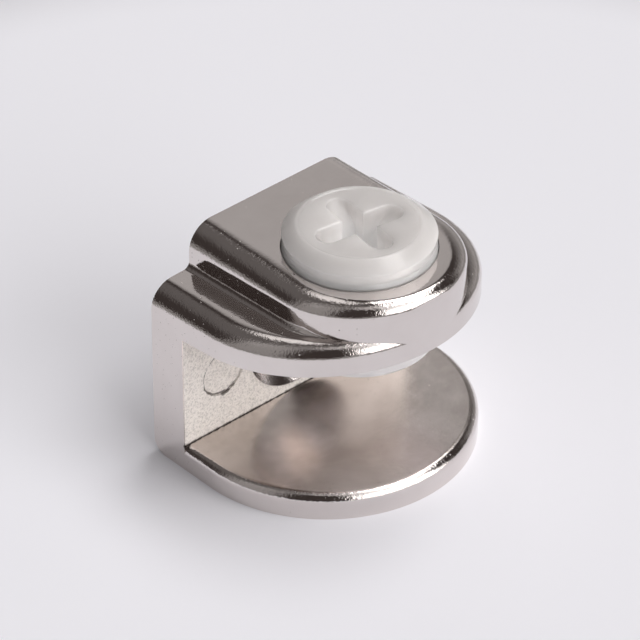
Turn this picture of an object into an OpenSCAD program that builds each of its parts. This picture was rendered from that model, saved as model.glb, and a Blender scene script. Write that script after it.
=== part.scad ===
// Glass panel clamp: a die-cast body that is screwed to a wall and grips the
// edge of a glass panel between its lower jaw and a moulded clamping screw.
// The origin is the centre of the fixing hole on the rear face. +Z is up,
// -Y is the way the jaws open, and X runs along the panel's edge.

/* [Jaws] */
// Width of the clamp along the panel's edge
body_w = 24; // [22:0.5:28]
// Depth of both jaws, from the rear face to the front
body_d = 18.7; // [17.5:0.1:22]
// Thickness of the rear wall
wall_t = 3.6; // [2.8:0.1:4.4]
// Thickness of the lower jaw
lower_jaw_t = 2.25; // [2:0.05:4]
// Rounding along the top edge of the lower jaw
lip_r = 0.82; // [0.4:0.02:1.5]
// Rounding of the heel, where the rear face meets the underside
heel_r = 1.3; // [0.5:0.1:2]

/* [Slot] */
// Height of the slot at the rear wall
slot_h = 10.18; // [8.5:0.02:13]
// Draft of the slot: the rise of the upper jaw's underside, in degrees
slot_draft = 5.65; // [3:0.05:7]

/* [Upper jaw] */
// Height of the upright band above the slot
band_h = 1.35; // [0.8:0.05:2]
// Width and height of the brow rounding at the rear and the sides
brow_rear = 2.1; // [1.2:0.05:2.4]
// Width and height of the brow rounding at the front
brow_front = 1.1; // [0.6:0.05:1.6]

/* [Raised cap] */
// Height of the cap's level top above the underside of the lower jaw
body_h = 19.25; // [18.6:0.05:22]
// Width of the cap at its foot
cap_w = 16.2; // [15:0.1:17]
// How far the cap's round front would pass the jaw's front, where it is clipped
cap_overrun = 0.08; // [0.02:0.01:0.3]
// Width and height of the cap's edge rounding at the rear and the sides
crown_rear = 2.25; // [1.2:0.05:2.4]
// Width and height of the cap's edge rounding at the front
crown_front = 0.95; // [0.5:0.05:1.4]
// Width and height of the cove at the foot of the cap
cove_r = 0.6; // [0.3:0.05:0.9]

/* [Clamping screw] */
// Thread diameter of the screw, over the crests
screw_d = 12; // [10:0.5:13]
// Length of the screw
screw_l = 10.4; // [9.5:0.1:12]
// Distance of the screw's axis from the rear face
screw_setback = 10.5; // [10.2:0.1:11.5]
// Opening that is left between the lower jaw and the foot of the screw
panel_gap = 8.75; // [7:0.05:9.4]
// Radial clearance of the screw in its bore
screw_fit = 0.06; // [0.02:0.01:0.1]
// Width of the sloping rim around the top face of the screw
rim_w = 1.15; // [0.5:0.05:1.4]
// Height of the sloping rim
rim_h = 0.55; // [0.2:0.05:1]
// Height of the collar at the top of the screw, with its rim
collar_h = 0.9; // [0.7:0.05:1.2]
// Height of the collar and of the neck beneath it
head_h = 1.85; // [1.6:0.05:2.4]
// Depth of the neck
neck_depth = 0.25; // [0.15:0.05:1]
// Pitch of the right-hand thread
thread_pitch = 1.75; // [1.25:0.05:2]
// Height above the foot at which the thread has run out
thread_l = 7.8; // [6.5:0.1:8]
// Direction in which the thread leaves the foot, in degrees
thread_turn = 24; // [-180:1:180]

/* [Driver recess] */
// Span of the cross recess from tip to tip
cross_span = 7.6; // [6.5:0.1:8]
// Width of each arm of the cross
arm_w = 1.9; // [1.4:0.05:2.4]
// Depth of the cross at its middle
cross_depth = 3.4; // [2.5:0.1:5]
// Turn of the cross about the screw's axis, in degrees
cross_turn = -9; // [-45:1:45]

/* [Fixing hole] */
// Diameter of the hole through the rear wall
hole_d = 5; // [4:0.1:6]
// Diameter of the countersink at the wall's inner face
sink_d = 10.6; // [9:0.1:11]
// Included angle of the countersink, in degrees
sink_angle = 90; // [80:1:110]
// Height of the hole above the lower jaw
hole_up = 5.35; // [5:0.05:6]

/* [Ejector marks] */
// Diameter of the round marks that the ejector pins leave on the wall
mark_d = 4; // [3:0.1:4.4]
// Depth of the marks
mark_depth = 0.15; // [0.05:0.05:0.3]
// Distance of each mark's centre from the side of the wall
mark_inset = 4.1; // [3:0.1:4.6]

/* [Hidden] */
$fn = 96;
// Steps in each lofted rounding and in the cove
round_steps = 6;
cove_steps = 3;
// Degrees between the points of a ring
ring_step = 6;
// The rings start this far behind the screw's axis, in degrees
ring_start = 24;
// Steps in each turn of the thread, and the length over which it runs out
turn_steps = 36;
run_out = 0.4;
// Size of the chamfers at the two ends of the screw's barrel
barrel_ease = 0.3;
// Overlap of the solids that are joined
overlap = 0.5;
// Beyond this a cutting tool is clear of the metal
clear = 1;
// Fall of the step around the cap towards its edge
step_fall = 0.05;

half_w = body_w / 2;
slot_root_z = lower_jaw_t + slot_h;
// Rear and front heights of the planes that shape the upper jaw
under_rear_z = slot_root_z - wall_t * tan(slot_draft);
under_z = [under_rear_z, under_rear_z + body_d * tan(slot_draft)];
band_z = under_z + [band_h, band_h];
brow = [brow_rear, brow_front];
step_z = band_z + brow;
cap_half = cap_w / 2;
cap_reach = body_d + cap_overrun;
crown = [crown_rear, crown_front];
crown_z = [body_h, body_h] - crown;
screw_r = screw_d / 2;
bore_r = screw_r + screw_fit;
foot_z = lower_jaw_t + panel_gap;
barrel_l = screw_l - head_h;
neck_r = screw_r - neck_depth;
// A 60 degree thread: its ridge is an eighth of the pitch wide at the crest, and
// its groove a quarter of the pitch at the root
crest_w = thread_pitch / 8;
flank_w = thread_pitch * 5 / 16;
thread_depth = flank_w * tan(60);
thread_steps = turn_steps * (ceil(barrel_l / thread_pitch) + 3);
hole_z = lower_jaw_t + hole_up;
mark_z = lower_jaw_t + slot_h / 2;
sink_depth = (sink_d - hole_d) / 2 / tan(sink_angle / 2);
// Radius at the bottom of the cross recess, where its arms' sloping floors end
cross_foot_r = arm_w * 0.6;

// Moves the solids, built from the underside up, to the fixing hole's frame
module to_hole_frame() {
    translate([0, 0, -hole_z]) children();
}

module rear_wall() {
    translate([-half_w, -wall_t, 0]) cube([body_w, wall_t, slot_root_z + overlap]);
}

// Half section of the lower jaw, with its top edge rounded
module jaw_section() {
    square([half_w - lip_r, lower_jaw_t]);
    square([half_w, lower_jaw_t - lip_r]);
    translate([half_w - lip_r, lower_jaw_t - lip_r]) circle(r = lip_r);
}

module lower_jaw() {
    straight = body_d - half_w;
    rotate([90, 0, 0]) linear_extrude(straight) {
        jaw_section();
        mirror([1, 0]) jaw_section();
    }
    translate([0, -straight, 0]) rotate([0, 0, 180]) rotate_extrude(angle = 180) jaw_section();
}

// The upper jaw is lofted through rings of points around the screw's axis. Each
// ring gives the distance from the axis to a D outline in a given direction.
directions = [for (a = [ring_start:-ring_step:-180 - ring_start]) [cos(a), sin(a)]];

// Distance to the D outline's side, or to its round front where that comes first
function d_radius(half, reach, dir) =
    let (back = screw_setback - (reach - half),
         along = back * dir[1],
         to_front = along + sqrt(along * along + half * half - back * back))
    to_front * dir[1] < back ? to_front : half / abs(dir[0]);

function body_radius(dir) = d_radius(half_w, body_d, dir);
function cap_radius(dir, grow) =
    min(d_radius(cap_half + grow[0], cap_reach + grow[1], dir), body_radius(dir));
function brow_radius(dir, inset) =
    max(d_radius(half_w - inset[0], body_d - inset[1], dir), cap_radius(dir, [0, 0]));

// One ring: the middle of its rear edge, its right corner, its points round the
// front and its left corner. z holds its heights at the rear and at the front.
function height(z, y) = z[0] - (z[1] - z[0]) * y / body_d;
function ring(half, z, radii) = concat(
    [[0, 0, z[0]], [half, 0, z[0]]],
    [for (i = [0:len(directions) - 1])
        let (y = radii[i] * directions[i][1] - screw_setback)
        [radii[i] * directions[i][0], y, height(z, y)]],
    [[-half, 0, z[0]]]);

// Inset and rise of a rounding of this size at a share of its quarter turn
function inset_at(size, share) = size * (1 - cos(90 * share));
function rise_at(size, share) = size * sin(90 * share);

body_radii = [for (d = directions) body_radius(d)];
brow_rings = [for (i = [0:round_steps])
    let (inset = inset_at(brow, i / round_steps))
    ring(half_w - inset[0], band_z + rise_at(brow, i / round_steps),
         [for (d = directions) brow_radius(d, inset)])];
// The cove rises as it narrows, and stays inside the step
cove_rings = [for (i = [0:cove_steps])
    let (grow = cove_r - rise_at(cove_r, i / cove_steps),
         rise = step_fall + inset_at(cove_r, i / cove_steps))
    ring(cap_half + grow, step_z + [rise, rise],
         [for (d = directions)
             min(cap_radius(d, [grow, grow / 6]), brow_radius(d, brow))])];
crown_rings = [for (i = [0:round_steps])
    let (inset = inset_at(crown, i / round_steps))
    ring(cap_half - inset[0], crown_z + rise_at(crown, i / round_steps),
         [for (d = directions) cap_radius(d, -inset)])];

// Joins the rings, from the lowest up, into one closed solid
module loft(rings) {
    count = len(rings[0]);
    top = (len(rings) - 1) * count;
    sides = [for (r = [0:count:top - count], i = [0:count - 1])
        let (next = (i + 1) % count)
        each [[r + i, r + next, r + count + next], [r + i, r + count + next, r + count + i]]];
    ends = [for (i = [1:count - 2])
        each [[0, i + 1, i], [top, top + i, top + i + 1]]];
    polyhedron(points = [for (r = rings) each r], faces = concat(sides, ends));
}

module upper_jaw() {
    loft(concat(
        [ring(half_w, under_z, body_radii)],
        brow_rings, cove_rings, crown_rings));
}

module screw_bore() {
    translate([0, -screw_setback, lower_jaw_t + clear])
        cylinder(r = bore_r, h = body_h);
}

// Through hole in the rear wall, with a countersink that is open to the slot and
// ends at the slot's floor and ceiling
module fixing_hole() {
    translate([0, clear, hole_z]) rotate([90, 0, 0])
        cylinder(d = hole_d, h = wall_t + 2 * clear);
    intersection() {
        translate([0, sink_depth - wall_t, hole_z]) rotate([90, 0, 0])
            cylinder(r1 = hole_d / 2, r2 = sink_d / 2 + clear * tan(sink_angle / 2),
                     h = sink_depth + clear);
        translate([-half_w, -2 * wall_t, lower_jaw_t]) cube([body_w, 2 * wall_t, slot_h]);
    }
}

module ejector_marks() {
    for (side = [-1, 1])
        translate([side * (half_w - mark_inset), mark_depth - wall_t, mark_z])
            rotate([90, 0, 0]) cylinder(d = mark_d, h = mark_depth + clear);
}

// Cutter that rounds the heel along the whole width
module heel_cutter() {
    rotate([90, 0, 90]) translate([0, 0, -half_w - clear])
        linear_extrude(body_w + 2 * clear) difference() {
            translate([-heel_r, -clear]) square([heel_r + clear, heel_r + clear]);
            translate([-heel_r, heel_r]) circle(r = heel_r);
        }
}

module clamp_body() {
    color("silver") to_hole_frame() difference() {
        union() {
            rear_wall();
            lower_jaw();
            upper_jaw();
        }
        screw_bore();
        fixing_hole();
        ejector_marks();
        heel_cutter();
    }
}

// Plan of the driver's cross: two arms with round ends
module cross_outline() {
    arm = cross_span - arm_w;
    for (turn = [0, 90]) rotate(turn) {
        square([arm, arm_w], center = true);
        for (end = [-1, 1]) translate([end * arm / 2, 0]) circle(d = arm_w);
    }
}

module cross_recess() {
    translate([0, 0, screw_l - cross_depth]) rotate(cross_turn) intersection() {
        linear_extrude(cross_depth + clear) cross_outline();
        union() {
            cylinder(r1 = cross_foot_r, r2 = cross_span / 2, h = cross_depth);
            translate([0, 0, cross_depth]) cylinder(d = cross_span, h = clear);
        }
    }
}

// The thread starts two turns under the foot. Each step along it gives the four
// corners of the ridge, and past the thread's length the root has risen to the crest.
function helix_z(step) = thread_pitch * (step / turn_steps - 2);
function root_r(z) = screw_r - thread_depth * max(0, min(1, (thread_l - z) / run_out));
function ridge(step) =
    let (z = helix_z(step), turn = thread_turn + 360 * step / turn_steps,
         corners = [[root_r(z), z], [screw_r, z + flank_w], [screw_r, z + flank_w + crest_w],
                    [root_r(z + thread_pitch), z + 2 * flank_w + crest_w]])
    [for (c = corners) [c[0] * cos(turn), c[0] * sin(turn), c[1]]];

// Two triangles for the quad with this left edge and this right edge
function quad(low, high, next_low, next_high) =
    [[low, high, next_high], [low, next_high, next_low]];

// A threaded rod: the ridge's flanks and crest, the root between its turns, and at
// each end a fan from the axis to the last turn
module threaded_rod() {
    ridges = [for (step = [0:thread_steps]) each ridge(step)];
    turn = 4 * turn_steps;
    end = 4 * thread_steps;
    flanks = [for (p = [0:4:end - 4], k = [0:2]) each quad(p + k, p + k + 1, p + k + 4, p + k + 5)];
    roots = [for (p = [0:4:end - turn - 4])
        each quad(p + 3, p + turn, p + 7, p + turn + 4)];
    low_loop = concat([for (p = [0:4:turn]) p], [3, 2, 1]);
    high_loop = concat([for (p = [end - turn:4:end]) p + 3], [end + 2, end + 1, end]);
    count = len(low_loop);
    caps = [for (i = [0:count - 1]) let (next = (i + 1) % count)
        each [[end + 4, low_loop[i], low_loop[next]], [end + 5, high_loop[next], high_loop[i]]]];
    ends = [[0, 0, helix_z(turn_steps / 2)], [0, 0, helix_z(thread_steps + turn_steps / 2)]];
    polyhedron(points = concat(ridges, ends), faces = concat(flanks, roots, caps));
}

// The threaded barrel, with its foot and its upper end chamfered
module barrel() {
    wide = screw_r + clear;
    intersection() {
        threaded_rod();
        rotate_extrude() polygon([
            [0, 0], [screw_r - barrel_ease, 0], [wide, barrel_ease + clear],
            [wide, barrel_l - barrel_ease - clear], [screw_r - barrel_ease, barrel_l],
            [0, barrel_l]]);
    }
}

module neck_and_collar() {
    rotate_extrude() polygon([
        [0, barrel_l - overlap], [neck_r, barrel_l - overlap],
        [neck_r, screw_l - collar_h - neck_depth / 2], [screw_r, screw_l - collar_h],
        [screw_r, screw_l - rim_h], [screw_r - rim_w, screw_l], [0, screw_l]]);
}

module clamping_screw() {
    color("whitesmoke") to_hole_frame() translate([0, -screw_setback, foot_z])
        difference() {
            union() {
                barrel();
                neck_and_collar();
            }
            cross_recess();
        }
}

clamp_body();
clamping_screw();
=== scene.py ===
"""Glass panel clamp: a nickel-plated zinc casting that holds the edge of a glass
panel, and the nylon screw that presses on the glass. All lengths are in metres, in
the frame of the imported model: the origin is the centre of the fixing hole on the
rear face, +Z is up and the slot opens towards -Y."""
import math

import bmesh
import bpy
import numpy as np
from mathutils import Matrix, Vector
from mathutils.geometry import delaunay_2d_cdt


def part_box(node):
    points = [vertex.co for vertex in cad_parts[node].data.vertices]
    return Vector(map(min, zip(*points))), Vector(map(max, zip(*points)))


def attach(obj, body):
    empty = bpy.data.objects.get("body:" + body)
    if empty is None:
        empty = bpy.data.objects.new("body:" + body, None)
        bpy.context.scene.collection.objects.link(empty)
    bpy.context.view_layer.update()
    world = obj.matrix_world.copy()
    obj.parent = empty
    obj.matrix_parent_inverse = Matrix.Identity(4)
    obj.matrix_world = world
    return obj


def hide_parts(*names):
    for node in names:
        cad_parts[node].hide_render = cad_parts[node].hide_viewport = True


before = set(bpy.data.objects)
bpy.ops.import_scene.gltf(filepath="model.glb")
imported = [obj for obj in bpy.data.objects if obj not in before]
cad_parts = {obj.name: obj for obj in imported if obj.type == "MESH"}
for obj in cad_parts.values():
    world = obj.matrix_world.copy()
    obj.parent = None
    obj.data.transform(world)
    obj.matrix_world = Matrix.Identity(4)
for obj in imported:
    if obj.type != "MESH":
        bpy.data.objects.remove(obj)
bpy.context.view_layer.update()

# ---------------------------------------------------------------- clamp body
# One zinc die casting, polished and nickel plated. The outside is bright with a fine
# orange peel; the slot's rear wall, which no wheel reaches, stays as cast, with the
# round marks of two ejector pins either side of the hole.
MM = 0.001
low, high = (np.array(corner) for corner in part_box("clamp_body"))
HALF = (high[0] - low[0]) / 2
DEPTH = high[1] - low[1]
BASE = low[2]
TOP = high[2]
WALL = 3.6 * MM
JAW_TOP = BASE + 2.25 * MM
LIP = 0.82 * MM
HEEL = 1.3 * MM
SLOT_ROOT = JAW_TOP + 10.18 * MM
SLOT_SLOPE = math.tan(math.radians(5.65))
BAND = 1.35 * MM
BROW = np.array([2.1, 1.1]) * MM
CAP_HALF = 8.1 * MM
CAP_REACH = DEPTH + 0.08 * MM
CROWN = np.array([2.25, 0.95]) * MM
COVE = 0.6 * MM
STEP_FALL = 0.05 * MM
AXIS = np.array([0.0, -10.5 * MM])
BORE = 6.06 * MM
HOLE = 2.5 * MM
SINK = 5.3 * MM
MARK = 2.0 * MM
MARK_DEPTH = 0.15 * MM
MARK_X = HALF - 4.1 * MM
MARK_Z = (JAW_TOP + SLOT_ROOT) / 2
EDGE = 0.09 * MM
# Directions from the screw's axis in which the rings of the upper jaw have points
START = math.radians(24)
# Points of each ring along the side of the rear wall, and of the countersink's cut-off top
BESIDE = 4
OVER = 25
bearing = np.linspace(START, -math.pi - START, 457)
DIRECTION = np.stack([np.cos(bearing), np.sin(bearing)], axis=1)


def outline_radius(half, reach):
    """Distance from the screw's axis to a D outline in every direction: to its
    straight side at x = half, or to its half-round front where that lies nearer."""
    centre = reach - half + AXIS[1]
    along = -centre * DIRECTION[:, 1]
    to_front = along + np.sqrt(along**2 + half**2 - centre**2)
    to_side = half / np.maximum(np.abs(DIRECTION[:, 0]), 1e-9)
    return np.where(to_front * DIRECTION[:, 1] < -centre, to_front, to_side)


def ring(half, heights, radii):
    """Points of one level of the upper jaw: down the right side of the wall, round the
    front at the given radii, and back up the left side. A height varies evenly from
    heights[0] at the rear face to heights[1] at the front of the jaws."""
    beside = -np.linspace(0, WALL, BESIDE)
    right = np.stack([np.full(BESIDE, half), beside], axis=1)
    plan = np.concatenate([right, AXIS + radii[:, None] * DIRECTION, right[::-1] * [-1, 1]])
    level = heights[0] - (heights[1] - heights[0]) * plan[:, 1] / DEPTH
    return np.column_stack([plan, level])


def quarter(size, count):
    """Insets and rises of a quarter-round edge: size (1 - cos t) and size sin t."""
    turn = np.linspace(0, math.pi / 2, count)[:, None]
    return size * (1 - np.cos(turn)), size * np.sin(turn)


under = SLOT_ROOT - WALL * SLOT_SLOPE + np.array([0, DEPTH * SLOT_SLOPE])
band = under + BAND
body_radius = outline_radius(HALF, DEPTH)
cap_radius = np.minimum(outline_radius(CAP_HALF, CAP_REACH), body_radius)
brow_rings = []
for inset, rise in zip(*quarter(BROW, 25)):
    step_radius = np.maximum(outline_radius(HALF - inset[0], DEPTH - inset[1]), cap_radius)
    brow_rings.append(ring(HALF - inset[0], band + rise, step_radius))
cove_rings = []
# The cove shrinks where the step runs out against the cap
room = np.clip((step_radius - cap_radius) / COVE, 0, 1)
for rise, grown in zip(*quarter(np.array([COVE]), 9)):
    flare = COVE - grown[0]
    wide = np.minimum(outline_radius(CAP_HALF + flare, CAP_REACH + flare / 6), body_radius)
    foot = ring(CAP_HALF + flare, band + BROW + STEP_FALL, cap_radius + (wide - cap_radius) * room)
    foot[:, 2] += rise[0] * np.concatenate([np.ones(BESIDE), room, np.ones(BESIDE)])
    cove_rings.append(foot)
crown_rings = []
for inset, rise in zip(*quarter(CROWN, 25)):
    narrow = outline_radius(CAP_HALF - inset[0], CAP_REACH - inset[1])
    # The level top is a little narrower than the bore, so its rings pass round the bore
    narrow = np.clip(narrow, BORE + EDGE, body_radius)
    crown_rings.append(ring(CAP_HALF - inset[0], TOP - CROWN + rise, narrow))
under_ring = ring(HALF, under, body_radius)
shell = np.array([under_ring] + brow_rings + cove_rings + crown_rings)


def grid_patch(points):
    """Quads between the neighbours of a rows x columns grid of points."""
    rows, columns = points.shape[:2]
    index = np.arange(rows * columns).reshape(rows, columns)
    quads = np.stack([index[:-1, :-1], index[:-1, 1:], index[1:, 1:], index[1:, :-1]], axis=-1)
    return points.reshape(-1, 3), quads.reshape(-1, 4).tolist()


def flat_patch(loops, across):
    """Triangles that fill a flat face between closed loops of points, the first the
    outer one and the rest holes, seen along two axes. A triangle stays if a ray from
    its middle crosses the loops an odd number of times."""
    points = np.concatenate(loops)
    start = np.concatenate([loop[:, across] for loop in loops]) / MM
    stop = np.concatenate([np.roll(loop[:, across], -1, axis=0) for loop in loops]) / MM
    base = np.cumsum([0] + [len(loop) for loop in loops])
    edges = [(k + i, k + (i + 1) % len(loop))
             for k, loop in zip(base, loops) for i in range(len(loop))]
    result = delaunay_2d_cdt([Vector(p) for p in start.tolist()], edges, [], 0, 1e-6, True)
    found = np.array([[result[3][i][0] for i in face] for face in result[2]])
    middle = start[found].mean(axis=1)[:, None]
    spans = (start[:, 1] > middle[..., 1]) != (stop[:, 1] > middle[..., 1])
    rise = np.where(stop[:, 1] == start[:, 1], 1, stop[:, 1] - start[:, 1])
    hit = start[:, 0] + (middle[..., 1] - start[:, 1]) * (stop[:, 0] - start[:, 0]) / rise
    inside = (spans & (hit > middle[..., 0])).sum(axis=1) % 2 == 1
    return points, found[inside].tolist()


def arc(centre, radius, start, end, count):
    """Points of a circular arc in its own plane, from one angle to another."""
    turn = np.linspace(start, end, count)
    return np.stack([centre[0] + radius * np.cos(turn), centre[1] + radius * np.sin(turn)], axis=1)


def circle(centre, radius, count=160):
    """Points of a full circle in its own plane, without repeating the first."""
    return arc(centre, radius, 0, 2 * math.pi, count + 1)[:-1]


def lift(plan, level):
    """Plan points (x, y) raised to a level, which may be one for each point."""
    return np.column_stack([plan, np.broadcast_to(level, len(plan))])


def upright(section, y):
    """Section points (x, z) stood up at a distance y from the rear face."""
    return np.column_stack([section[:, 0], np.broadcast_to(y, len(section)), section[:, 1]])


# The bore for the screw, from the sloping underside to the level top
mouth = circle(AXIS, BORE)
bore_low = lift(mouth, under[0] - (under[1] - under[0]) * mouth[:, 1] / DEPTH)
bore_high = lift(mouth, TOP)
patches = [grid_patch(shell),
           flat_patch([shell[-1], bore_high], [0, 1]),
           grid_patch(np.array([np.vstack([p, p[:1]]) for p in (bore_low, bore_high)]))]

# The lower jaw: upright edge, rounded lip and flat seat for the glass
straight = DEPTH - HALF
jaw_centre = [0, -straight]


def jaw_path(inset):
    """Plan of the lower jaw's edge from the wall round the front, moved inwards."""
    front = arc(jaw_centre, HALF - inset, 0, -math.pi, 181)
    side = np.stack([np.full(4, HALF - inset), np.linspace(-WALL, -straight, 5)[:-1]], axis=1)
    return np.concatenate([side, front, side[::-1] * [-1, 1]])


lip_insets, lip_rises = (values[:, 0] for values in quarter(np.array([LIP]), 13))
lip = np.array([lift(jaw_path(i), JAW_TOP - LIP + r) for i, r in zip(lip_insets, lip_rises)])
edge_path = jaw_path(0)
patches += [grid_patch(lip),
            flat_patch([lip[-1]], [0, 1]),
            grid_patch(np.array([lift(edge_path, BASE), lip[0]]))]

# The heel rounding and the flat underside
heel = arc([-HEEL, BASE + HEEL], HEEL, 0, -math.pi / 2, 13)
heel_right = np.column_stack([np.full(13, HALF), heel])
heel_left = heel_right * [-1, 1, 1]
underside = np.vstack([heel_right[-1:], lift(edge_path, BASE), heel_left[-1:]])
patches += [grid_patch(np.array([heel_right, heel_left])),
            flat_patch([underside], [0, 1])]

# The wall's inner face: a countersink that the slot's ceiling cuts off, and the two
# round marks of the ejector pins
corner = math.asin(SLOT_ROOT / SINK)
over = np.linspace(corner, math.pi - corner, OVER)
turn = np.concatenate([over[:-1], np.linspace(math.pi - corner, 2 * math.pi + corner, 137)[:-1]])
rim = np.where(np.arange(len(turn)) < OVER - 1, SLOT_ROOT / np.sin(turn), SINK)
spoke = np.stack([np.cos(turn), np.sin(turn)], axis=1)
sink_high = upright(rim[:, None] * spoke, SINK - rim - WALL)
sink_low = upright(HOLE * spoke, SINK - HOLE - WALL)
hole_rear = upright(HOLE * spoke, 0)
ceiling = sink_high[:OVER] * [1, 0, 1] - [0, WALL, 0]
mark_rims = [upright(circle([side * MARK_X, MARK_Z], MARK), -WALL) for side in (1, -1)]
mark_floors = [points + [0, MARK_DEPTH, 0] for points in mark_rims]
inner_edge = np.vstack([lip[::-1, 0], under_ring[BESIDE - 1:BESIDE], ceiling[:1],
                        sink_high[:OVER - 1:-1], ceiling[-1:], under_ring[-BESIDE:1 - BESIDE],
                        lip[:, -1]])
patches += [flat_patch([inner_edge] + mark_rims, [0, 2]),
            grid_patch(np.array([ceiling, sink_high[:OVER]])),
            flat_patch([np.vstack([under_ring[BESIDE - 1:1 - BESIDE], ceiling[::-1]]), bore_low], [0, 1])]
walls = [(sink_high, sink_low), (sink_low, hole_rear)] + list(zip(mark_rims, mark_floors))
for outer, inner in walls:
    patches.append(grid_patch(np.array([np.vstack([p, p[:1]]) for p in (outer, inner)])))
patches += [flat_patch([points], [0, 2]) for points in mark_floors]

# The sides of the rear wall, and the rear face
for side in (1, -1):
    wall_edge = under_ring[:BESIDE] if side == 1 else under_ring[::-1][:BESIDE]
    flank = np.vstack([heel_right[::-1] * [side, 1, 1], wall_edge,
                       lip[0][:1] * [side, 1, 1], [[side * HALF, -WALL, BASE]]])
    patches.append(flat_patch([flank], [1, 2]))
rear = np.vstack([heel_right[:1], shell[:, 0], shell[::-1, -1], heel_left[:1]])
patches.append(flat_patch([rear, hole_rear], [0, 2]))


def join(name, parts, smooth_below):
    """One closed mesh from patches whose edges share their points. Faces are turned
    outwards, and edges that turn by less than the given angle shade smoothly."""
    mesh = bpy.data.meshes.new(name)
    starts = np.cumsum([0] + [len(points) for points, _ in parts])
    faces = [[i + start for i in face] for start, (_, quads) in zip(starts, parts) for face in quads]
    mesh.from_pydata(np.concatenate([points for points, _ in parts]).tolist(), [], faces)
    work = bmesh.new()
    work.from_mesh(mesh)
    bmesh.ops.remove_doubles(work, verts=work.verts, dist=1e-8)
    bmesh.ops.dissolve_degenerate(work, edges=work.edges, dist=1e-8)
    bmesh.ops.recalc_face_normals(work, faces=work.faces)
    work.to_mesh(mesh)
    work.free()
    mesh.shade_smooth()
    mesh.set_sharp_from_angle(angle=smooth_below)
    piece = bpy.data.objects.new(name, mesh)
    bpy.context.scene.collection.objects.link(piece)
    return piece


casting = join("plated_casting", patches, math.radians(35))
rounded = casting.modifiers.new("edge_break", "BEVEL")
rounded.width = EDGE
rounded.segments = 3
rounded.limit_method = "ANGLE"
rounded.angle_limit = math.radians(40)
rounded.use_clamp_overlap = True
rounded.harden_normals = True
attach(casting, "body")
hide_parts("clamp_body")


class Shade:
    """One socket of a material's nodes. Arithmetic on it adds Math nodes, and node()
    adds any other node: its type, its settings, and values or links for its inputs."""

    def __init__(self, tree, socket=None):
        self.tree, self.socket = tree, socket

    def node(self, kind, inputs=(), output=0, **settings):
        made = self.tree.nodes.new(kind)
        for name, value in settings.items():
            setattr(made, name, value)
        for key, value in dict(inputs).items():
            if isinstance(value, Shade):
                self.tree.links.new(value.socket, made.inputs[key])
            else:
                made.inputs[key].default_value = value
        return Shade(self.tree, made.outputs[output])

    def math(self, operation, *values):
        return self.node("ShaderNodeMath", dict(enumerate(values)), operation=operation)

    def __add__(self, other):
        return self.math("ADD", self, other)

    def __sub__(self, other):
        return self.math("SUBTRACT", self, other)

    def __rsub__(self, other):
        return self.math("SUBTRACT", other, self)

    def __mul__(self, other):
        return self.math("MULTIPLY", self, other)

    def __truediv__(self, other):
        return self.math("DIVIDE", self, other)

    def __pow__(self, other):
        return self.math("POWER", self, other)

    __radd__, __rmul__ = __add__, __mul__

    def clamp(self):
        return self.math("MINIMUM", self.math("MAXIMUM", self, 0.0), 1.0)

    def ramp(self, low, high):
        """0 where the value is below low, 1 above high, and a soft step between."""
        share = ((self - low) / (high - low)).clamp()
        return share * share * (3.0 - 2.0 * share)

    def mix(self, first, second):
        """A colour between two, by this share."""
        return self.node("ShaderNodeMix", {0: self, 6: first, 7: second}, 2, data_type="RGBA")


def noise(place, size, detail=2.0, roughness=0.5):
    """Cloudy noise whose blotches are about this size in metres, from 0 to 1."""
    return place.node("ShaderNodeTexNoise", {"Vector": place, "Scale": 1 / size, "Detail": detail,
                                             "Roughness": roughness})


def new_material(name):
    """An empty material: its Principled shader, its place socket and its x, y and z."""
    material = bpy.data.materials.new(name)
    material.use_nodes = True
    shader = material.node_tree.nodes["Principled BSDF"]
    place = Shade(material.node_tree).node("ShaderNodeTexCoord", output=3)
    parts = place.node("ShaderNodeSeparateXYZ", {0: place})
    outputs = parts.socket.node.outputs
    return material, shader, place, [Shade(material.node_tree, out) for out in outputs]


def feed(shader, **signals):
    """Links signals to the named inputs of a Principled shader."""
    for name, signal in signals.items():
        signal.tree.links.new(signal.socket, shader.inputs[name.replace("_", " ")])


def specks(place, size, share):
    """Small round spots, one in a cell of this size in metres, in this share of the
    cells: 1 in a spot and 0 around it."""
    found = place.node("ShaderNodeTexVoronoi", {"Vector": place, "Scale": 1 / size})
    chance = Shade(place.tree, found.socket.node.outputs["Color"])
    chance = chance.node("ShaderNodeSeparateXYZ", {0: chance})
    return (1.0 - found.ramp(0.06, 0.2)) * (1.0 - chance.ramp(share - 0.02, share + 0.02))


NICKEL = (0.775, 0.73, 0.712, 1.0)
NICKEL_DULL = (0.67, 0.62, 0.60, 1.0)
SEAT_TONE = (0.81, 0.75, 0.72, 1.0)
SEAT_DULL_AND_SHADED = (0.50, 0.445, 0.41, 1.0)
AS_CAST = (1.0, 0.95, 0.90, 1.0)
# CREVICE is the dark of the painted shade in the slot's corner and round the left mark, and of the dark
# specks on the as-cast wall
CREVICE = (0.10, 0.085, 0.075, 1.0)

plated, shader, place, (x, y, z) = new_material("plated_zinc")
waves = noise(place, 2.2 * MM, 2.0, 0.5)
peel = noise(place, 0.4 * MM, 2.0, 0.5)
grain = noise(place, 0.2 * MM, 2.0, 0.7)
clouds = noise(place, 4 * MM, 3.0, 0.6)
pits = specks(place, 0.3 * MM, 0.12)
# The slot's rear wall was never polished: it is rough, pale and pitted
cast = ((1.0 - (y + WALL).math("ABSOLUTE", y + WALL).ramp(0.25 * MM, 0.3 * MM))
        * z.ramp(JAW_TOP, JAW_TOP + 0.05 * MM) * (1.0 - z.ramp(SLOT_ROOT - 0.1 * MM, SLOT_ROOT))
        * (1.0 - x.math("ABSOLUTE", x).ramp(HALF - 0.12 * MM, HALF - 0.04 * MM)))
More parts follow.
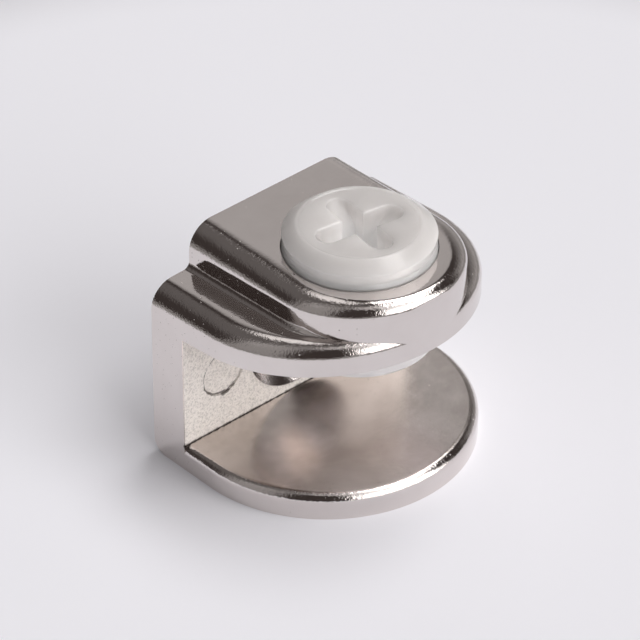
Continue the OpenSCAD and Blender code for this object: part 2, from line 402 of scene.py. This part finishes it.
# The seat for the glass is satin: the wheel only grazes it
seat = ((1.0 - z.ramp(JAW_TOP + 0.02 * MM, JAW_TOP + 0.06 * MM))
        * z.ramp(JAW_TOP - 0.1 * MM, JAW_TOP - 0.02 * MM)
        * (1.0 - (y + WALL).ramp(-0.1 * MM, 0.0)))
# Painted shade: the slot's corner is painted dark along its crease, and the flash round the left mark is
# painted dark, most on its lower left side
from_corner = ((y + WALL) * (y + WALL) + (z - JAW_TOP) * (z - JAW_TOP)) ** 0.5
ragged = (peel - 0.5) * (0.3 * MM)
corner_shade_line = 1.0 - (from_corner + ragged).ramp(0.03 * MM, 0.16 * MM)
from_mark = ((x + MARK_X) * (x + MARK_X) + (z - MARK_Z) * (z - MARK_Z)) ** 0.5
flash_shade = (from_mark + (waves - 0.5) * (0.9 * MM) + ragged - MARK)
flash_shade = (1.0 - flash_shade.math("ABSOLUTE", flash_shade).ramp(0.04 * MM, 0.14 * MM)) * cast
flash_shade = flash_shade * (1.0 - (x + MARK_X + 0.6 * (z - MARK_Z)).ramp(-0.2 * MM, 1.0 * MM) * 0.8)
# A blob at the foot of that mark, painted dark with the flash
burr = ((x + MARK_X) * (x + MARK_X) + (z - MARK_Z + MARK) * (z - MARK_Z + MARK)) ** 0.5 + ragged
flash_shade = flash_shade.math("MAXIMUM", flash_shade, (1.0 - burr.ramp(0.1 * MM, 0.3 * MM)) * cast)
tone = ((clouds - 0.5) * 0.9 + 0.5).clamp()
# Painted shade and light: the seat is painted darker towards its left side and paler towards its right,
# over a cloudy tone
seat_tone_and_painted_shade = clouds.ramp(0.3, 0.68) * 0.4 + x.ramp(-9 * MM, 5 * MM) * 0.6
blotch = noise(place, 0.16 * MM, 2.0, 0.8).ramp(0.3, 0.6) * 0.35 + 0.65
skin = cast.mix(seat.mix(tone.mix(NICKEL_DULL, NICKEL), seat_tone_and_painted_shade.mix(SEAT_DULL_AND_SHADED, SEAT_TONE)),
                blotch.mix(CREVICE, AS_CAST))
# The roundings are grainier than the flats, which the wheel reached
normal = Shade(place.tree).node("ShaderNodeNewGeometry", output=1)
normal_parts = normal.node("ShaderNodeSeparateXYZ", {0: normal}).socket.node.outputs
facing_up = Shade(place.tree, normal_parts[2])
rounding = facing_up.ramp(0.1, 0.4) * (1.0 - facing_up.ramp(0.9, 0.99))
height = ((waves * 0.036 + peel * 0.008) * (0.45 + 0.55 * rounding)
          + grain * (0.0025 + 0.016 * rounding) - pits * 0.02
          + cast * (peel * 0.06 + grain * 0.06) - (flash_shade + corner_shade_line * cast) * 0.05)
# The base colour is darkened towards CREVICE by the painted shade of the corner and the flash
feed(shader, Base_Color=(corner_shade_line.math("MAXIMUM", corner_shade_line, flash_shade) * 0.85).mix(skin, CREVICE),
     Metallic=1.0 - 0.85 * cast,
     Roughness=0.06 + 0.06 * clouds + 0.15 * seat + 0.5 * cast,
     Normal=place.node("ShaderNodeBump", {"Height": height, "Distance": MM, "Strength": 1.0}))
casting.data.materials.append(plated)

# ------------------------------------------------------------- clamping screw
# Moulded in natural nylon: an M12 thread that runs out under a shallow neck and a
# collar, a cross recess for the driver, and a flat foot that bears on the glass.
foot, head = (np.array(corner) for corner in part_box("clamping_screw"))
FOOT = foot[2]
HEAD = head[2]
CREST = (head[0] - foot[0]) / 2
PITCH = 1.75 * MM
FLANK = PITCH * 5 / 16
THREAD_TOP = FOOT + 7.8 * MM
RUN_OUT = 0.4 * MM
THREAD_TURN = math.radians(24)
BARREL_EASE = 0.3 * MM
NECK = CREST - 0.25 * MM
NECK_LOW = HEAD - 1.85 * MM
RIM_LOW = HEAD - 0.85 * MM
FACE = CREST - 1.15 * MM
PLAIN = HEAD - 0.07 * MM
ARM = 0.95 * MM
SPAN = 3.8 * MM
CROSS_DEPTH = 3.4 * MM
CROSS_FLOOR = 1.14 * MM
CROSS_TURN = math.radians(-9)
CROSS_EASE = 0.14 * MM


def eased(path, size, count=5):
    """A path whose inner corners are rounded: each is a curve that leaves one leg and
    meets the next at this distance from the corner, or halfway where a leg is short."""
    points = [path[0]]
    for before, corner, after in zip(path[:-2], path[1:-1], path[2:]):
        legs = [np.subtract(end, corner) for end in (before, after)]
        ends = [corner + leg * min(size / np.hypot(*leg), 0.45) for leg in legs]
        for t in np.linspace(0, 1, count):
            points.append((1 - t) ** 2 * ends[0] + 2 * t * (1 - t) * np.array(corner) + t * t * ends[1])
    return np.array(points + [path[-1]])


def screw_profile():
    """The screw's outline without its thread, as radius and height: the foot's chamfer,
    the barrel in fine steps, the neck, the collar, its rim, and the fine lip round the top."""
    path = eased([(CREST - BARREL_EASE, FOOT), (CREST, FOOT + BARREL_EASE),
                  (CREST, NECK_LOW - BARREL_EASE), (NECK, NECK_LOW + 0.1 * MM), (CREST, RIM_LOW),
                  (FACE + 0.05 * MM, HEAD), (FACE - 0.14 * MM, HEAD), (FACE - 0.26 * MM, PLAIN),
                  (FACE - 0.45 * MM, PLAIN)], 0.1 * MM)
    fine = np.linspace(FOOT + 0.5 * MM, THREAD_TOP + FLANK, 150)
    barrel = np.stack([np.full_like(fine, CREST), fine], axis=1)
    split = np.searchsorted(path[:, 1], FOOT + 0.5 * MM)
    return np.concatenate([path[:split], barrel, path[split:]])


def threaded(columns):
    """The screw's sides: the profile turned about the axis, less a right-hand groove
    whose depth grows along 60 degree flanks on both sides of a narrow crest."""
    radius, level = screw_profile().T[:, :, None]
    around = np.linspace(0, 2 * math.pi, columns + 1)
    from_crest = np.mod((level - FOOT) / PITCH - (around - THREAD_TURN) / (2 * math.pi) + 1 / 8, 1)
    share = np.clip((np.abs(from_crest - 0.5) * PITCH - PITCH / 16) / FLANK, 0, 1)
    fading = np.clip((THREAD_TOP - level) / RUN_OUT + 0.5, 0, 1)
    groove = share * FLANK * math.tan(math.radians(60)) * fading
    radius = np.minimum(radius, CREST - groove)
    return np.stack([AXIS[0] + radius * np.cos(around), AXIS[1] + radius * np.sin(around),
                     np.broadcast_to(level, radius.shape)], axis=-1)


def cross_outline(grow):
    """The driver's cross seen from above: four arms with half-round ends, drawn as one
    loop from the inner corner of each arm round its end to the next, and widened."""
    half = ARM + grow
    tip = SPAN - ARM
    end = arc([tip, 0], half, -math.pi / 2, math.pi / 2, 17)
    side = np.linspace([half, -half], [tip, -half], 13)[:-1]
    quarter_loop = np.concatenate([side, end, side[:0:-1] * [1, -1]])
    loops = []
    for turns in range(4):
        angle = turns * math.pi / 2 + CROSS_TURN
        spin = np.array([[math.cos(angle), math.sin(angle)], [-math.sin(angle), math.cos(angle)]])
        loops.append(quarter_loop @ spin)
    return np.concatenate(loops)


def cross_pocket():
    """The recess as loops of points: its eased edge, its wall, and its floor, which
    deepens from the tips of the arms to the middle like a cone."""
    loops = []
    for t in np.linspace(0, math.pi / 2, 5):
        edge = cross_outline(CROSS_EASE * (1 - math.sin(t)))
        loops.append(lift(AXIS + edge, PLAIN - CROSS_EASE * (1 - math.cos(t))))
    cross = cross_outline(0)
    reach = np.hypot(cross[:, 0], cross[:, 1])
    for share in (1.0, 0.85, 0.7, 0.55, 0.4, 0.25, 0.1):
        depth = CROSS_DEPTH * np.clip((SPAN - share * reach) / (SPAN - CROSS_FLOOR), 0, 1)
        loops.append(lift(AXIS + share * cross, PLAIN - np.maximum(depth, CROSS_EASE * 1.4)))
    pocket = np.array(loops)
    return np.concatenate([pocket, pocket[:, :1]], axis=1)


thread = threaded(288)
pocket = cross_pocket()
screw = join("nylon_screw",
             [grid_patch(thread), grid_patch(pocket),
              flat_patch([thread[-1, :-1], pocket[0, :-1]], [0, 1]),
              flat_patch([pocket[-1, :-1]], [0, 1]),
              flat_patch([thread[0, :-1]], [0, 1])], math.radians(70))
even = screw.modifiers.new("even_normals", "WEIGHTED_NORMAL")
even.keep_sharp = True
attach(screw, "screw")
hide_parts("clamping_screw")

NYLON_CLEAR = (0.60, 0.58, 0.57, 1.0)
NYLON_MILKY = (0.67, 0.65, 0.64, 1.0)
NYLON_PAINTED_GLOW = (0.95, 0.93, 0.92, 1.0)

nylon, shader, place, (x, y, z) = new_material("natural_nylon")
milk = noise(place, 3 * MM, 3.0, 0.6)
skin = noise(place, 0.3 * MM, 3.0, 0.6)
# Painted light: below the face, the pocket and the sides are painted paler, so they look as bright as the
# face
painted_glow = 1.0 - z.ramp(HEAD - 2.0 * MM, HEAD - 0.2 * MM)
feed(shader, Base_Color=painted_glow.mix(milk.mix(NYLON_CLEAR, NYLON_MILKY), NYLON_PAINTED_GLOW),
     Roughness=0.1 + 0.08 * milk,
     Normal=place.node("ShaderNodeBump", {"Height": skin + milk * 2.0, "Distance": 0.012 * MM,
                                          "Strength": 1.0}))
shader.inputs["Subsurface Weight"].default_value = 1.0
shader.inputs["Subsurface Scale"].default_value = 6 * MM
shader.inputs["Subsurface Radius"].default_value = (1.0, 1.0, 1.0)
shader.inputs["IOR"].default_value = 1.53
screw.data.materials.append(nylon)

# ---------------------------------------------------------------- the studio
# A pale floor under the clamp, a dark room above it and soft boxes that the plating
# mirrors. None of it belongs to the object.
FLOOR_HALF = 0.6
PALE_OUT = 0.065
TABLE_OUT = 0.09
PAPER_NEAR = (0.90, 0.908, 0.96, 1.0)
PAPER_FAR = (0.30, 0.295, 0.29, 1.0)
LENS = 270
SENSOR = 36
CAMERA_AT = Vector((-202.4, -229.9, 221.4)) * MM
SIGHT = Vector((0.5427, 0.6003, -0.5876))
RIGHTWARD = Vector((0.7418, -0.6706, 0.0))


def set_floor():
    """A square sheet whose middle is under the clamp."""
    mesh = bpy.data.meshes.new("floor")
    corners = [(-1, -1), (1, -1), (1, 1), (-1, 1)]
    mesh.from_pydata([(FLOOR_HALF * i, FLOOR_HALF * j, BASE) for i, j in corners], [], [(0, 1, 2, 3)])
    sheet = bpy.data.objects.new("floor", mesh)
    bpy.context.scene.collection.objects.link(sheet)
    return sheet


floor = set_floor()
paper, shader, place, (x, y, z) = new_material("pale_paper")
away = ((x * x + (y - AXIS[1]) * (y - AXIS[1])) ** 0.5).ramp(PALE_OUT, TABLE_OUT)
feed(shader, Base_Color=away.mix(PAPER_NEAR, PAPER_FAR))
shader.inputs["Roughness"].default_value = 0.9
shader.inputs["Specular IOR Level"].default_value = 0.0
floor.data.materials.append(paper)

room = bpy.data.worlds.new("studio")
bpy.context.scene.world = room
room.use_nodes = True
backdrop = room.node_tree.nodes["Background"]
sky = Shade(room.node_tree).node("ShaderNodeTexCoord", output=0)
axes = sky.node("ShaderNodeSeparateXYZ", {0: sky}).socket.node.outputs
sx, sy, sz = (Shade(room.node_tree, axis) for axis in axes)
level_out = (sx * sx + sy * sy + 1e-6) ** 0.5


def wall_panel(azimuth, half_width, low, high, soft):
    """Share of an upright panel, from its bearing, its half width and its soft edge in
    degrees and the heights of its ends as sines of the elevation."""
    a = math.radians(azimuth)
    facing = (sx * math.cos(a) + sy * math.sin(a)) / level_out
    across = facing.ramp(math.cos(math.radians(half_width + soft)),
                         math.cos(math.radians(half_width - soft)))
    edge = math.sin(math.radians(soft))
    return across * sz.ramp(low - edge, low + edge) * (1.0 - sz.ramp(high - edge, high + edge))


def round_panel(azimuth, elevation, radius, soft):
    """Share of a round panel, from its bearing, elevation, radius and soft edge in degrees."""
    a, e = math.radians(azimuth), math.radians(elevation)
    facing = (sx * (math.cos(a) * math.cos(e)) + sy * (math.sin(a) * math.cos(e)) + sz * math.sin(e))
    return facing.ramp(math.cos(math.radians(radius + soft)), math.cos(math.radians(max(radius - soft, 0))))


glow = (0.05
        + 1.00 * wall_panel(-80, 31, -0.42, 0.80, 4)
        + 1.70 * wall_panel(-78, 32, 0.02, 0.66, 6)
        + 1.00 * wall_panel(-50, 12, -0.30, 0.25, 5)
        + 1.00 * wall_panel(-75, 34, 0.80, 0.95, 4)
        + 5.0 * round_panel(20, 62, 12, 3)
        + 3.7 * round_panel(-42, 64, 15, 4)
        + 0.9 * round_panel(70, 66, 11, 4)
        + 0.5 * round_panel(-130, 72, 9, 4)
        + 0.18 * wall_panel(24, 36, -0.45, 0.45, 8)
        + 0.20 * wall_panel(20, 30, -0.45, 0.15, 10)
        + 0.41 * wall_panel(54, 13, -0.4, 0.72, 6)
        + 0.09 * wall_panel(125, 42, 0.55, 0.97, 8)
        + 0.26 * wall_panel(174, 20, -0.3, 0.95, 8)) * (1.0 - 0.92 * wall_panel(51, 8, 0.78, 1.2, 3))
channels = {0: glow, 1: glow * 0.98 - 0.008, 2: glow * 0.97 - 0.01}
tint = Shade(room.node_tree).node("ShaderNodeCombineColor", channels)
tint.tree.links.new(tint.socket, backdrop.inputs["Color"])

camera_data = bpy.data.cameras.new("camera")
camera_data.lens = LENS
camera_data.sensor_width = SENSOR
camera = bpy.data.objects.new("camera", camera_data)
bpy.context.scene.collection.objects.link(camera)
sight = SIGHT.normalized()
right = RIGHTWARD.normalized()
up = right.cross(sight)
turned = Matrix((right, up, -sight)).transposed().to_4x4()
camera.matrix_world = Matrix.Translation(CAMERA_AT) @ turned
bpy.context.scene.camera = camera
bpy.context.scene.view_settings.view_transform = "Standard"
